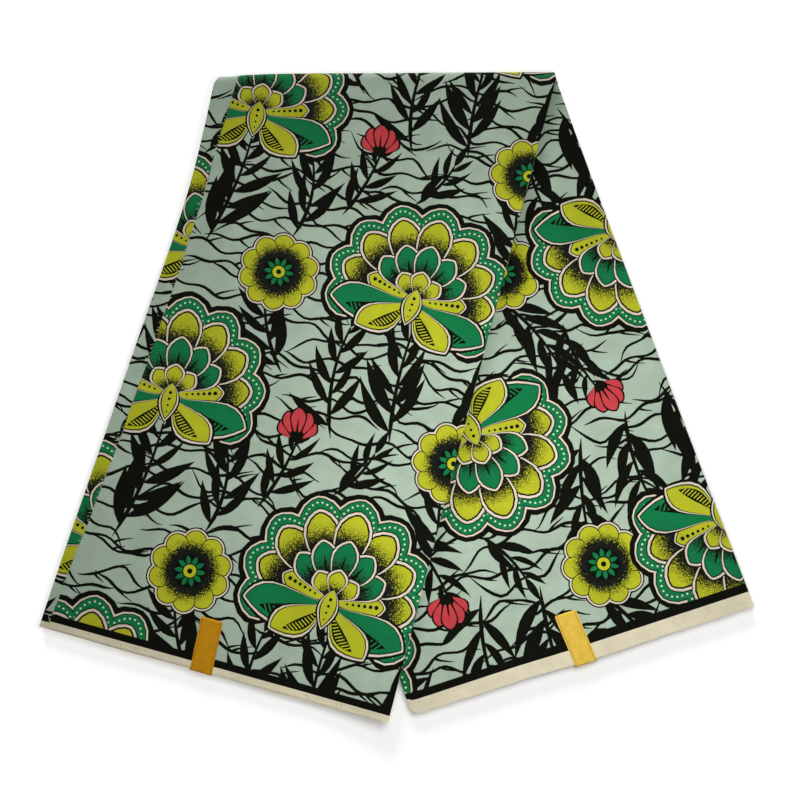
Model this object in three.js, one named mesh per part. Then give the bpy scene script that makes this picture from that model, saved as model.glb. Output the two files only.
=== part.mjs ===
// A six yard length of printed cotton, folded along its length into a long flat pack and then
// folded over across its middle at a slant. It lies flat as two legs that spread from the fold:
// the left leg lies on the right leg and sinks to the floor beside it. Millimetres, +Z up.
// The fold is at +Y, and the legs' selvedge ends point towards -Y.
import * as THREE from 'three';

const { clamp, degToRad, lerp, smoothstep } = THREE.MathUtils;

// Driving sizes: with the turn at the fold, the two legs make 1190 mm from selvedge to selvedge
const PACK_WIDTH = 325;
const LEFT_LEG = 551;
const RIGHT_LEG = 641;
const LEG_SLANT = degToRad(16.4);
const STACK_HEIGHT = 8.2;
const CLOTH_WALL = 1.0;
const LAYER_GAP = 0.35;

// The fold line runs along X, and the stack turns round an axis just inside it
const FOLD_MIDDLE = { x: 1.3, y: 309.8 };
const FOLD_SETBACK = 7;
const INNER_RADIUS = 0.2;
const OUTER_RADIUS = INNER_RADIUS + STACK_HEIGHT;
const AXIS_HEIGHT = OUTER_RADIUS;
const STRIP_CORNER = new THREE.Vector2(
  FOLD_MIDDLE.x - PACK_WIDTH / 2 / Math.cos(LEG_SLANT),
  FOLD_MIDDLE.y,
);

// How far the fold bows away from straight, along X from its middle
const FOLD_BOW = [
  { x: -170, out: -0.4 },
  { x: -106, out: 1.4 },
  { x: 0, out: 0.2 },
  { x: 110, out: -0.9 },
  { x: 176, out: -2.0 },
];

// How far the two ends of the fold are drawn in where the stack turns over, fading inwards
const FOLD_END_DRAW = { left: 5.0, right: 1.5, fade: 60 };

// The sides of the stack, measured across each leg, down the leg from the strip's corner. Raw is
// the cut edge of the top panel, which lies inside the folded side
const LEFT_LEG_SIDES = [
  { down: 0, left: 0.2, raw: 22.2, right: 325 },
  { down: 60, left: 5.3, raw: 23.0, right: 325 },
  { down: 120, left: 8.2, raw: 24.6, right: 325 },
  { down: 250, left: 5.6, raw: 22.0, right: 325.2 },
  { down: 370, left: 3.4, raw: 18.4, right: 325.5 },
  { down: 460, left: 1.5, raw: 13.6, right: 325.8 },
  { down: 551, left: 0.4, raw: 8.0, right: 326 },
];
const RIGHT_LEG_SIDES = [
  { down: 0, left: -1.0, raw: 22.2, right: 324.4 },
  { down: 110, left: -1.6, raw: 22.0, right: 322.4 },
  { down: 330, left: -2.6, raw: 21.0, right: 321.6 },
  { down: 560, left: -3.0, raw: 20.0, right: 323.0 },
  { down: 641, left: -2.4, raw: 20.0, right: 324.0 },
];

const LEGS = {
  left: {
    length: LEFT_LEG,
    sides: LEFT_LEG_SIDES,
    slope: -1,
    down: new THREE.Vector2(-Math.sin(LEG_SLANT), -Math.cos(LEG_SLANT)),
    across: new THREE.Vector2(Math.cos(LEG_SLANT), -Math.sin(LEG_SLANT)),
  },
  right: {
    length: RIGHT_LEG,
    sides: RIGHT_LEG_SIDES,
    slope: 1,
    down: new THREE.Vector2(Math.sin(LEG_SLANT), -Math.cos(LEG_SLANT)),
    across: new THREE.Vector2(Math.cos(LEG_SLANT), Math.sin(LEG_SLANT)),
  },
};

// The layers of the stack, by their radii from the inside of the fold out
const NEXT_OUTER = OUTER_RADIUS - CLOTH_WALL - LAYER_GAP;
const INNER_PANEL = { low: INNER_RADIUS, high: INNER_RADIUS + CLOTH_WALL };
const NEXT_PANEL = { low: NEXT_OUTER - CLOTH_WALL, high: NEXT_OUTER };
const OUTER_PANEL = { low: OUTER_RADIUS - CLOTH_WALL, high: OUTER_RADIUS };
const HIDDEN_STACK = { low: INNER_PANEL.high + LAYER_GAP, high: NEXT_PANEL.low - LAYER_GAP };

// How far each visible panel reaches past the sides and the two selvedge ends
const PANEL_REACH = {
  inner: { side: 0, leftEnd: -3, rightEnd: 0 },
  next: { side: 0, leftEnd: 1.3, rightEnd: -3 },
  outer: { side: 0, leftEnd: 0, rightEnd: -5 },
};
const PANEL_EDGE_ROUND = 0.35;

// The hidden layers, from the inside of the fold out: their reach past the sides and the ends,
// and how far each edge wanders, in waves along a side
const HIDDEN_LAYERS = [
  { side: -0.3, leftEnd: -1.8, rightEnd: 1.0, wander: 0.5, waves: 5 },
  { side: -1.0, leftEnd: 0.6, rightEnd: -2.2, wander: 0.4, waves: 7 },
  { side: -0.4, leftEnd: -2.4, rightEnd: 0.5, wander: 0.5, waves: 4 },
  { side: -0.9, leftEnd: 1.0, rightEnd: -1.2, wander: 0.4, waves: 6 },
];
const HIDDEN_EDGE_ROUND = 0.8;
const HIDDEN_EDGE_STEPS = 4;

// Off the right leg, the left leg sinks to the floor over this run
const SINK = { margin: 4, run: 95 };

// The stack is pressed flatter towards its selvedge ends, and its top is slightly uneven
const END_PRESS = { share: 0.1, run: 70 };
const UNEVEN_WAVES = [
  { rise: 0.35, lengthX: 310, lengthY: 230, start: 0.6 },
  { rise: 0.22, lengthX: 170, lengthY: -390, start: 2.1 },
];
const LEVEL_RUN = 60;

// Paper seals that wrap the selvedge ends and are tucked beneath the stack: the centre across
// the leg at its end, the lean of the strip, and how far it reaches up the leg
const SEALS = [
  { name: 'seal_left', leg: 'left', centre: 152.8, lean: -0.08, width: 20.5, reach: 46 },
  { name: 'seal_right', leg: 'right', centre: 161.2, lean: -0.08, width: 20.5, reach: 44 },
];
const SEAL_WALL = 0.5;
const SEAL_GAP = 0.3;
const SEAL_PAST_END = 2.0;
const SEAL_FEATHER = { from: 3, to: 16 };

// Columns across the strip between its sides, and rows as shares of a leg from its end
const INNER_COLUMNS = [46, 84, 118, 139, 149, 169, 179, 205, 237, 268, 300];
const LEFT_ROWS = [0, 0.022, 0.05, 0.082, 0.11, 0.16, 0.23, 0.32, 0.42, 0.52, 0.62, 0.71, 0.79, 0.86, 0.92, 0.965];
const RIGHT_ROWS = [0, 0.022, 0.05, 0.082, 0.11, 0.18, 0.28, 0.4, 0.52, 0.64, 0.76, 0.87, 0.95];
const FOLD_STEPS = 12;

// A smooth curve through one column of a table, read at a value of its key column
function follow(table, key, column, at) {
  const last = table.length - 1;
  const place = clamp(at, table[0][key], table[last][key]);
  let i = 0;
  while (i < last - 1 && place > table[i + 1][key]) i += 1;
  const slope = (a, b) => (table[b][column] - table[a][column]) / (table[b][key] - table[a][key]);
  const span = table[i + 1][key] - table[i][key];
  const u = (place - table[i][key]) / span;
  const before = slope(Math.max(i - 1, 0), i + 1) * span;
  const after = slope(i, Math.min(i + 2, last)) * span;
  const rise = table[i + 1][column] - table[i][column];
  const square = 3 * rise - 2 * before - after;
  const cube = before + after - 2 * rise;
  return table[i][column] + u * before + u * u * square + u * u * u * cube;
}

// A place on a leg, seen from above
function onLeg(leg, down, across) {
  return STRIP_CORNER.clone().addScaledVector(leg.down, down).addScaledVector(leg.across, across);
}

// How far down a leg its line at this place across crosses the fold's axis
function foldCrossing(leg, across) {
  const x = (across - PACK_WIDTH / 2) / Math.cos(LEG_SLANT);
  const setback = FOLD_SETBACK - follow(FOLD_BOW, 'x', 'out', x);
  return (setback + leg.slope * across * Math.sin(LEG_SLANT)) / Math.cos(LEG_SLANT);
}

// 1 where the left leg lies on the right leg, falling to 0 where it lies on the floor
function carriedShare(point) {
  const outside = (STRIP_CORNER.x - point.x) * Math.cos(LEG_SLANT)
    + (STRIP_CORNER.y - point.y) * Math.sin(LEG_SLANT);
  return 1 - smoothstep(outside, SINK.margin, SINK.margin + SINK.run);
}

// How far a stack's top rises or dips at a place, level near the fold
function unevenness(point) {
  const fromFold = STRIP_CORNER.y - FOLD_SETBACK - point.y;
  let rise = 0;
  for (const wave of UNEVEN_WAVES) {
    const phase = 2 * Math.PI * (point.x / wave.lengthX + point.y / wave.lengthY);
    rise += wave.rise * Math.sin(phase + wave.start);
  }
  return rise * smoothstep(fromFold, 0, LEVEL_RUN);
}

// How far the stack is held off the floor above the tucked part of a seal
function sealLift(leg, down, across) {
  let lift = 0;
  for (const seal of SEALS.filter((each) => LEGS[each.leg] === leg)) {
    const back = leg.length - down;
    const beside = Math.abs(across - seal.centre + seal.lean * back) - seal.width / 2;
    const beyond = Math.hypot(Math.max(beside, 0), Math.max(back - seal.reach, 0));
    const share = 1 - smoothstep(beyond, SEAL_FEATHER.from, SEAL_FEATHER.to);
    lift = Math.max(lift, share * (SEAL_WALL + SEAL_GAP));
  }
  return lift;
}

// A point of the stack on a leg, at a level that counts up from its underside
function stackPoint(leg, down, across, level) {
  const point = onLeg(leg, down, across);
  const press = END_PRESS.share * (1 - smoothstep(leg.length - down, 0, END_PRESS.run));
  const rise = unevenness(point);
  const lift = sealLift(leg, down, across);
  const inside = clamp(level, 0, STACK_HEIGHT);
  const height = 1 - press + (rise - lift) / STACK_HEIGHT;
  const carried = leg === LEGS.left ? carriedShare(point) : 0;
  const under = carried * (STACK_HEIGHT + rise + 2 * INNER_RADIUS);
  return new THREE.Vector3(point.x, point.y, under + lift + inside * height + (level - inside));
}

// The rows that every layer shares: up the left leg, round the fold and down the right leg
function stackRows() {
  const rows = LEFT_ROWS.map((share) => ({ leg: LEGS.left, share }));
  for (let step = 0; step <= FOLD_STEPS; step += 1) {
    rows.push({ turn: Math.PI * step / FOLD_STEPS });
  }
  for (const share of [...RIGHT_ROWS].reverse()) rows.push({ leg: LEGS.right, share });
  return rows;
}

// Where a column runs across a leg: a named side of the stack, or a fixed place across it
function columnAcross(column, leg, down) {
  return typeof column === 'string' ? follow(leg.sides, 'down', column, down) : column;
}

// A column's place on a leg, at a share of the way from the leg's end to the fold
function columnPlace(column, leg, share, reach) {
  let down = leg.length * (1 - share);
  let across = 0;
  for (let pass = 0; pass < 6; pass += 1) {
    across = columnAcross(column, leg, down) + reach.side;
    down = lerp(leg.length + reach.end, foldCrossing(leg, across), share);
  }
  return { down, across };
}

// A point of the folded stack on a row and a column, at a radius from the fold's axis
function layerPoint(row, column, radius, reach) {
  if (row.leg) {
    const { down, across } = columnPlace(column, row.leg, row.share, reach);
    const level = row.leg === LEGS.left ? radius - INNER_RADIUS : OUTER_RADIUS - radius;
    return stackPoint(row.leg, down, across, level);
  }
  const start = columnPlace(column, LEGS.left, 1, reach);
  const finish = columnPlace(column, LEGS.right, 1, reach);
  const axis = onLeg(LEGS.left, start.down, start.across)
    .lerp(onLeg(LEGS.right, finish.down, finish.across), row.turn / Math.PI);
  const fromLeft = Math.max(1 - start.across / FOLD_END_DRAW.fade, 0) ** 2;
  const fromRight = Math.max(1 - (PACK_WIDTH - start.across) / FOLD_END_DRAW.fade, 0) ** 2;
  const drawn = FOLD_END_DRAW.left * fromLeft - FOLD_END_DRAW.right * fromRight;
  const out = radius / OUTER_RADIUS;
  return new THREE.Vector3(
    axis.x + drawn * out * Math.sin(row.turn),
    axis.y + radius * Math.sin(row.turn),
    AXIS_HEIGHT + radius * Math.cos(row.turn),
  );
}

// The steps of a panel's rounded edge, from its inner face to its outer face
function panelEdge(layer, reach) {
  return [
    { radius: layer.low, round: 0 },
    { radius: (layer.low + layer.high) / 2, round: PANEL_EDGE_ROUND },
    { radius: layer.high, round: 0 },
  ].map((step) => ({ ...reach, ...step, wander: 0, waves: 0 }));
}

// The steps of the hidden stack's edge: a rounded fold for each layer, with a groove between
function layeredEdge(layer, folds) {
  const height = (layer.high - layer.low) / folds.length;
  const steps = [];
  folds.forEach((fold, index) => {
    for (let step = index === 0 ? 0 : 1; step <= HIDDEN_EDGE_STEPS; step += 1) {
      const bend = Math.PI * (step / HIDDEN_EDGE_STEPS - 0.5);
      const radius = layer.low + height * (index + 0.5 + Math.sin(bend) / 2);
      const groove = step === HIDDEN_EDGE_STEPS && index + 1 < folds.length;
      const deeper = groove && folds[index + 1].side < fold.side ? folds[index + 1] : fold;
      steps.push({ ...deeper, radius, round: HIDDEN_EDGE_ROUND * (Math.cos(bend) - 1) });
    }
  });
  return steps;
}

// How far an edge step reaches out at a place on the outline
function edgeReach(step, row, rows, column, columns) {
  const along = row / (rows.length - 1);
  const wander = step.wander * Math.sin(2 * Math.PI * step.waves * along + step.waves);
  const outward = step.side + step.round + wander;
  let side = 0;
  if (column === 0) side = -outward;
  if (column === columns.length - 1) side = outward;
  let end = 0;
  if (row === 0) end = step.leftEnd + step.round;
  if (row === rows.length - 1) end = step.rightEnd + step.round;
  return { side, end };
}

// The outline of a grid, once round, as pairs of row and column
function outlineOf(rows, columns) {
  const lastRow = rows.length - 1;
  const lastColumn = columns.length - 1;
  const outline = [];
  for (let column = 0; column < lastColumn; column += 1) outline.push([0, column]);
  for (let row = 0; row < lastRow; row += 1) outline.push([row, lastColumn]);
  for (let column = lastColumn; column > 0; column -= 1) outline.push([lastRow, column]);
  for (let row = lastRow; row > 0; row -= 1) outline.push([row, 0]);
  return outline;
}

// A closed solid from its points and faces
function solid(points, faces) {
  const geometry = new THREE.BufferGeometry();
  const positions = points.flatMap((point) => [point.x, point.y, point.z]);
  geometry.setAttribute('position', new THREE.Float32BufferAttribute(positions, 3));
  geometry.setIndex(faces.flat());
  geometry.computeVertexNormals();
  return geometry;
}

// A layer of the folded stack: an inner and an outer face joined all round by its edge's steps
function layerGeometry(columns, edge) {
  const rows = stackRows();
  const points = [];
  const faces = [];
  const quad = (a, b, c, d) => faces.push([a, b, c], [a, c, d]);
  const face = (step) => rows.map((row, r) => columns.map((column, c) => {
    points.push(layerPoint(row, column, step.radius, edgeReach(step, r, rows, c, columns)));
    return points.length - 1;
  }));
  const inner = face(edge[0]);
  const outer = face(edge[edge.length - 1]);
  for (let r = 0; r + 1 < rows.length; r += 1) {
    for (let c = 0; c + 1 < columns.length; c += 1) {
      quad(outer[r][c], outer[r][c + 1], outer[r + 1][c + 1], outer[r + 1][c]);
      quad(inner[r][c], inner[r + 1][c], inner[r + 1][c + 1], inner[r][c + 1]);
    }
  }
  const outline = outlineOf(rows, columns);
  const rings = outline.map(([r, c]) => [
    inner[r][c],
    ...edge.slice(1, -1).map((step) => {
      const reach = edgeReach(step, r, rows, c, columns);
      points.push(layerPoint(rows[r], columns[c], step.radius, reach));
      return points.length - 1;
    }),
    outer[r][c],
  ]);
  rings.forEach((ring, index) => {
    const following = rings[(index + 1) % rings.length];
    for (let k = 0; k + 1 < ring.length; k += 1) {
      quad(ring[k], following[k], following[k + 1], ring[k + 1]);
    }
  });
  return solid(points, faces);
}

// A seal's way over the leg's end: on top, round the end, and back beneath
function sealPath(seal) {
  const top = STACK_HEIGHT + SEAL_GAP;
  const end = -SEAL_PAST_END;
  return [
    { back: seal.reach, level: top, up: 1, out: 0, side: 1 },
    { back: seal.reach / 2, level: top, up: 1, out: 0, side: 1 },
    { back: seal.reach / 6, level: top, up: 1, out: 0, side: 1 },
    { back: end + 0.8, level: top, up: 0.9, out: 0.4, side: 0 },
    { back: end, level: top - 0.8, up: 0.4, out: 0.9, side: 0 },
    { back: end, level: STACK_HEIGHT / 2, up: 0, out: 1, side: 0 },
    { back: end, level: 0.5, up: -0.4, out: 0.9, side: 0 },
    { back: end + 0.8, level: -SEAL_GAP, up: -1, out: 0.4, side: 0 },
    { back: seal.reach / 6, level: -SEAL_GAP, up: -1, out: 0, side: -1 },
    { back: seal.reach / 2, level: -SEAL_GAP, up: -1, out: 0, side: -1 },
    { back: seal.reach, level: -SEAL_GAP, up: -1, out: 0, side: -1 },
  ];
}

// A paper seal: a thin strip that follows its way over the end, its four corners at each step
function sealGeometry(seal) {
  const leg = LEGS[seal.leg];
  const points = [];
  const faces = [];
  const rings = sealPath(seal).map((step) => {
    const middle = seal.centre + step.side * seal.lean * step.back;
    const corner = (sideways, wall) => {
      const down = leg.length - step.back + step.out * wall;
      points.push(stackPoint(leg, down, middle + sideways * seal.width / 2, step.level + step.up * wall));
      return points.length - 1;
    };
    return [corner(-1, 0), corner(1, 0), corner(1, SEAL_WALL), corner(-1, SEAL_WALL)];
  });
  for (let r = 0; r + 1 < rings.length; r += 1) {
    for (let k = 0; k < 4; k += 1) {
      const next = (k + 1) % 4;
      faces.push([rings[r][k], rings[r + 1][next], rings[r + 1][k]]);
      faces.push([rings[r][k], rings[r][next], rings[r + 1][next]]);
    }
  }
  const [first, last] = [rings[0], rings[rings.length - 1]];
  faces.push([first[0], first[2], first[1]], [first[0], first[3], first[2]]);
  faces.push([last[0], last[1], last[2]], [last[0], last[2], last[3]]);
  return solid(points, faces);
}

const finishes = {
  printed: new THREE.MeshStandardMaterial({ color: 0x9fb8a4, roughness: 0.78, metalness: 0 }),
  layered: new THREE.MeshStandardMaterial({ color: 0xc9c4a8, roughness: 0.85, metalness: 0 }),
  sealed: new THREE.MeshStandardMaterial({ color: 0xc79222, roughness: 0.42, metalness: 0.3 }),
};

function named(name, geometry, material) {
  const mesh = new THREE.Mesh(geometry, material);
  mesh.name = name;
  return mesh;
}

function layerMesh(name, columns, edge, material) {
  return named(name, layerGeometry(columns, edge), material);
}

const foldedCloth = new THREE.Group();
const wholeWidth = ['left', 'raw', ...INNER_COLUMNS, 'right'];
const fromRawEdge = ['raw', ...INNER_COLUMNS, 'right'];
foldedCloth.add(
  layerMesh('outer_panel', fromRawEdge, panelEdge(OUTER_PANEL, PANEL_REACH.outer), finishes.printed),
  layerMesh('next_panel', wholeWidth, panelEdge(NEXT_PANEL, PANEL_REACH.next), finishes.printed),
  layerMesh('hidden_layers', wholeWidth, layeredEdge(HIDDEN_STACK, HIDDEN_LAYERS), finishes.layered),
  layerMesh('inner_panel', wholeWidth, panelEdge(INNER_PANEL, PANEL_REACH.inner), finishes.printed),
);
for (const seal of SEALS) {
  foldedCloth.add(named(seal.name, sealGeometry(seal), finishes.sealed));
}

export default foldedCloth;
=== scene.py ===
# A six yard length of wax print cotton, folded along its length into a flat pack and turned over at a
# slant across its middle, with a gold paper seal round each end. Lengths here are in millimetres.
import math

import bpy
import numpy as np
from mathutils import Matrix, Vector
from mathutils.bvhtree import BVHTree
from mathutils.geometry import delaunay_2d_cdt


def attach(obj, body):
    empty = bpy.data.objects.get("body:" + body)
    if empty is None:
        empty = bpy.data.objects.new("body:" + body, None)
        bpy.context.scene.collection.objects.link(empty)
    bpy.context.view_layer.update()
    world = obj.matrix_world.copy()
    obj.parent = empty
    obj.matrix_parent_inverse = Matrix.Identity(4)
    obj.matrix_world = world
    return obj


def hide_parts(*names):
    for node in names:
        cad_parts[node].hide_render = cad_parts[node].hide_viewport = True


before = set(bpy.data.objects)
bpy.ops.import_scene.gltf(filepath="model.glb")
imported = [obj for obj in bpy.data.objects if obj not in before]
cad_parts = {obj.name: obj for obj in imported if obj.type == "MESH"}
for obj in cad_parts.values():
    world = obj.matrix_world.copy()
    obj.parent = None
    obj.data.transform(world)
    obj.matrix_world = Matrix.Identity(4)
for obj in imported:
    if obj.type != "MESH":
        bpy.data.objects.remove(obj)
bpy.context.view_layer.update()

MM = 0.001


# The folded pack: its legs, their slant, and the fold that the stack turns round
PACK_WIDTH = 325.0
LENGTH = {"left": 551.0, "right": 641.0}
SLOPE = {"left": -1.0, "right": 1.0}
SLANT = math.radians(16.4)
SIN, COS = math.sin(SLANT), math.cos(SLANT)
STACK_HEIGHT = 8.2
INNER_RADIUS = 0.2
OUTER_RADIUS = INNER_RADIUS + STACK_HEIGHT
FOLD_X, FOLD_Y = 1.3, 309.8
FOLD_SETBACK = 7.0
CORNER_X, CORNER_Y = FOLD_X - PACK_WIDTH / 2 / COS, FOLD_Y
FOLD_END_DRAW = {"left": 5.0, "right": 1.5, "fade": 60.0}
# The roll at the fold is a little longer than it is high
FOLD_STRETCH = 1.27

# How far the fold bows away from straight, along X from its middle
FOLD_BOW = np.array([(-170, -0.4), (-106, 1.4), (0, 0.2), (110, -0.9), (176, -2.0)], float)

# The sides of each leg, down the leg: folded left side, raw edge of the top panel, right side
LEFT, RAW, RIGHT = 1, 2, 3
SIDES = {
    "left": np.array([
        (0, 0.2, 22.2, 325), (60, 5.3, 23.0, 325), (120, 8.2, 24.6, 325), (250, 5.6, 22.0, 325.2),
        (370, 3.4, 18.4, 325.5), (460, 1.5, 13.6, 325.8), (551, 0.4, 8.0, 326)], float),
    "right": np.array([
        (0, -1.0, 22.2, 324.4), (110, -1.6, 22.0, 322.4), (330, -2.6, 21.0, 321.6),
        (560, -3.0, 20.0, 323.0), (641, -2.4, 20.0, 324.0)], float),
}
SINK = {"margin": 4.0, "run": 95.0}
END_PRESS = {"share": 0.1, "run": 70.0}
UNEVEN_WAVES = [(0.35, 310.0, 230.0, 0.6), (0.22, 170.0, -390.0, 2.1)]
LEVEL_RUN = 60.0

# The paper seals: their centre across the leg, lean, width and reach up the leg
SEALS = {
    "left": {"centre": 152.8, "lean": -0.08, "width": 20.5, "reach": 46.0},
    "right": {"centre": 161.2, "lean": -0.08, "width": 20.5, "reach": 44.0},
}
SEAL_WALL, SEAL_GAP, SEAL_PAST_END = 0.5, 0.3, 2.0
SEAL_FEATHER = {"from": 3.0, "to": 16.0}

# Seventeen panels of cloth make the stack
PANELS = 17
CLOTH = 0.39
PITCH = (STACK_HEIGHT - CLOTH) / (PANELS - 1)
EDGE_FOLD = (PITCH + CLOTH) / 2


def follow(table, column, at):
    """A smooth curve through one column of a table, read at values of its first column."""
    keys, values = table[:, 0], table[:, column]
    at = np.clip(at, keys[0], keys[-1])
    last = len(keys) - 1
    i = np.searchsorted(keys[1:-1], at, side="left")
    span = keys[i + 1] - keys[i]

    def slope(a, b):
        return (values[b] - values[a]) / (keys[b] - keys[a])

    u = (at - keys[i]) / span
    before = slope(np.maximum(i - 1, 0), i + 1) * span
    after = slope(i, np.minimum(i + 2, last)) * span
    rise = values[i + 1] - values[i]
    return (values[i] + u * before + u * u * (3 * rise - 2 * before - after)
            + u * u * u * (before + after - 2 * rise))


def smooth(x, low, high):
    u = np.clip((x - low) / (high - low), 0, 1)
    return u * u * (3 - 2 * u)


def on_leg(leg, down, across):
    """A place on a leg, seen from above."""
    lean = SLOPE[leg] * SIN
    return CORNER_X + lean * down + COS * across, CORNER_Y - COS * down + lean * across


def crossing(leg, across):
    """How far down a leg its line at this place across meets the fold's axis."""
    setback = FOLD_SETBACK - follow(FOLD_BOW, 1, (across - PACK_WIDTH / 2) / COS)
    return (setback + SLOPE[leg] * across * SIN) / COS


def carried(x, y):
    """1 where the left leg lies on the right leg, falling to 0 on the floor."""
    outside = (CORNER_X - x) * COS + (CORNER_Y - y) * SIN
    return 1 - smooth(outside, SINK["margin"], SINK["margin"] + SINK["run"])


def unevenness(x, y):
    rise = 0
    for height, long_x, long_y, start in UNEVEN_WAVES:
        rise = rise + height * np.sin(2 * np.pi * (x / long_x + y / long_y) + start)
    return rise * smooth(CORNER_Y - FOLD_SETBACK - y, 0, LEVEL_RUN)


def seal_lift(leg, down, across):
    """How far the stack is held up over the tucked part of its seal."""
    seal = SEALS[leg]
    back = LENGTH[leg] - down
    beside = np.abs(across - seal["centre"] + seal["lean"] * back) - seal["width"] / 2
    beyond = np.hypot(np.maximum(beside, 0), np.maximum(back - seal["reach"], 0))
    return (1 - smooth(beyond, SEAL_FEATHER["from"], SEAL_FEATHER["to"])) * (SEAL_WALL + SEAL_GAP)


# The end of the right leg: rounded at its folded corner, and let out a little from its middle on
END_SHAPE = {"corner": 9.0, "out": 2.4, "from": 90.0, "to": 160.0, "run": 24.0}


def end_drawn(leg, down, across):
    """How far down the leg a place lies, once its end has been shaped."""
    if leg == "left":
        return down
    corner = END_SHAPE["corner"]
    beside = np.clip(across - follow(SIDES[leg], LEFT, down), 0, corner)
    drawn = corner - np.sqrt(corner**2 - (corner - beside) ** 2)
    out = END_SHAPE["out"] * smooth(across, END_SHAPE["from"], END_SHAPE["to"])
    return down + (out - drawn) * smooth(down, LENGTH[leg] - END_SHAPE["run"], LENGTH[leg])


def stack_point(leg, down, across, level):
    """A point of the stack on a leg, at a level that counts up from its underside."""
    x, y = on_leg(leg, end_drawn(leg, down, across), across)
    press = END_PRESS["share"] * (1 - smooth(LENGTH[leg] - down, 0, END_PRESS["run"]))
    rise, lift = unevenness(x, y), seal_lift(leg, down, across)
    within = np.clip(level, 0, STACK_HEIGHT)
    height = 1 - press + (rise - lift) / STACK_HEIGHT
    under = carried(x, y) * (STACK_HEIGHT + rise + 2 * INNER_RADIUS) if leg == "left" else 0
    return np.stack([x, y, under + lift + within * height + (level - within)], -1)


def fold_point(across, turn, radius):
    """A point of the stack where it turns over, at an angle round the fold."""
    left = on_leg("left", crossing("left", across), across)
    right = on_leg("right", crossing("right", across), across)
    share = turn / np.pi
    x = left[0] + (right[0] - left[0]) * share
    y = left[1] + (right[1] - left[1]) * share
    fade = FOLD_END_DRAW["fade"]
    drawn = FOLD_END_DRAW["left"] * np.maximum(1 - across / fade, 0) ** 2
    drawn = drawn - FOLD_END_DRAW["right"] * np.maximum(1 - (PACK_WIDTH - across) / fade, 0) ** 2
    sine = np.sin(turn)
    return np.stack([x + drawn * radius / OUTER_RADIUS * sine, y + radius * FOLD_STRETCH * sine,
                     OUTER_RADIUS + radius * np.cos(turn)], -1)


class Sheet:
    """One panel of the cloth, measured from the end of one leg, up it, round the fold and down the other.

    face is the radius of its printed face from the fold's axis, outward 1 or -1 the way that this face
    looks, far the distance from the leg's end, and reach how far the panel goes past that end."""

    def __init__(self, leg, face, outward, reach=0.0):
        self.leg, self.other = leg, "right" if leg == "left" else "left"
        self.face, self.outward, self.reach = face, outward, reach
        self.roll = np.pi * max(face, 1.0) / COS

    def fold_at(self, across):
        return LENGTH[self.leg] + self.reach - crossing(self.leg, across)

    def where(self, across, far):
        fold_at = self.fold_at(across)
        share = np.clip((far - fold_at) / self.roll, 0, 1)
        own = LENGTH[self.leg] + self.reach - np.minimum(far, fold_at)
        other = crossing(self.other, across) + np.maximum(far - fold_at - self.roll, 0)
        turn = share * np.pi if self.leg == "left" else (1 - share) * np.pi
        return share, own, other, turn

    def side(self, column, across, far):
        """Where a side of the stack runs, at this distance from the end."""
        share, own, other, _ = self.where(across, far)
        here = follow(SIDES[self.leg], column, own)
        return here + (follow(SIDES[self.other], column, other) - here) * share

    def radius_at(self, depth):
        return self.face - self.outward * depth

    def place(self, across, far, depth=0.0, left=LEFT):
        """The point of the sheet at a depth below its face. Past a folded side it turns in under itself."""
        across, far = np.asarray(across, float), np.asarray(far, float)
        depth = np.broadcast_to(np.asarray(depth, float), across.shape)
        moved, sunk = across, depth
        for column, way in ((RIGHT, 1.0), (left, -1.0)):
            if column is None:
                continue
            edge = self.side(column, across, far)
            over = way * (across - edge) + EDGE_FOLD
            angle = np.clip(over / EDGE_FOLD, 0, np.pi)
            back = np.maximum(over - np.pi * EDGE_FOLD, 0)
            round_ = EDGE_FOLD - depth
            moved = np.where(over > 0, edge - way * (EDGE_FOLD - round_ * np.sin(angle) + back), moved)
            sunk = np.where(over > 0, EDGE_FOLD - round_ * np.cos(angle), sunk)
        share, own, other, turn = self.where(moved, far)
        radius = self.radius_at(sunk)
        levels = {"left": radius - INNER_RADIUS, "right": OUTER_RADIUS - radius}
        here = stack_point(self.leg, own, moved, levels[self.leg])
        there = stack_point(self.other, other, moved, levels[self.other])
        folded = fold_point(moved, turn, radius)
        share = share[..., None]
        return np.where(share <= 0, here, np.where(share >= 1, there, folded))

    def facing(self, across, far, depth=0.0, left=LEFT):
        """Which way the printed face looks, worked out from its neighbours."""
        step = 0.15
        sideways = self.place(across + step, far, depth, left) - self.place(across - step, far, depth, left)
        upward = self.place(across, far + step, depth, left) - self.place(across, far - step, depth, left)
        normal = np.cross(sideways, upward) * self.outward
        return normal / np.maximum(np.linalg.norm(normal, axis=-1, keepdims=True), 1e-12)
# The print, drawn flat in millimetres: x across the cloth, y up the cloth from the stems to the petals
INKS = ["ground", "black", "outline", "green", "lime", "petal", "sepal", "coral", "selvedge", "dots"]
GROUND, BLACK, OUTLINE, GREEN, LIME, PETAL, SEPAL, CORAL, SELVEDGE, DOTS = range(len(INKS))


def turned(points, lean):
    """Points turned clockwise about the origin, in degrees."""
    a = math.radians(lean)
    turn = np.array([[math.cos(a), -math.sin(a)], [math.sin(a), math.cos(a)]])
    return points @ turn


def petal(length, half, peak=2.0, blunt=0.7, bend=0.0, steps=12):
    """A petal from the origin up: widest at a place set by peak, round or pointed by blunt."""
    u = (1 - np.cos(np.pi * np.arange(steps + 1) / steps)) / 2
    half_width = half * np.clip(np.sin(np.pi * u**peak), 0, 1) ** blunt
    middle = bend * u**2
    right = np.stack([middle + half_width, u * length], 1)
    left = np.stack([middle - half_width, u * length], 1)
    return np.concatenate([right, left[-2:0:-1]])


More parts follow.
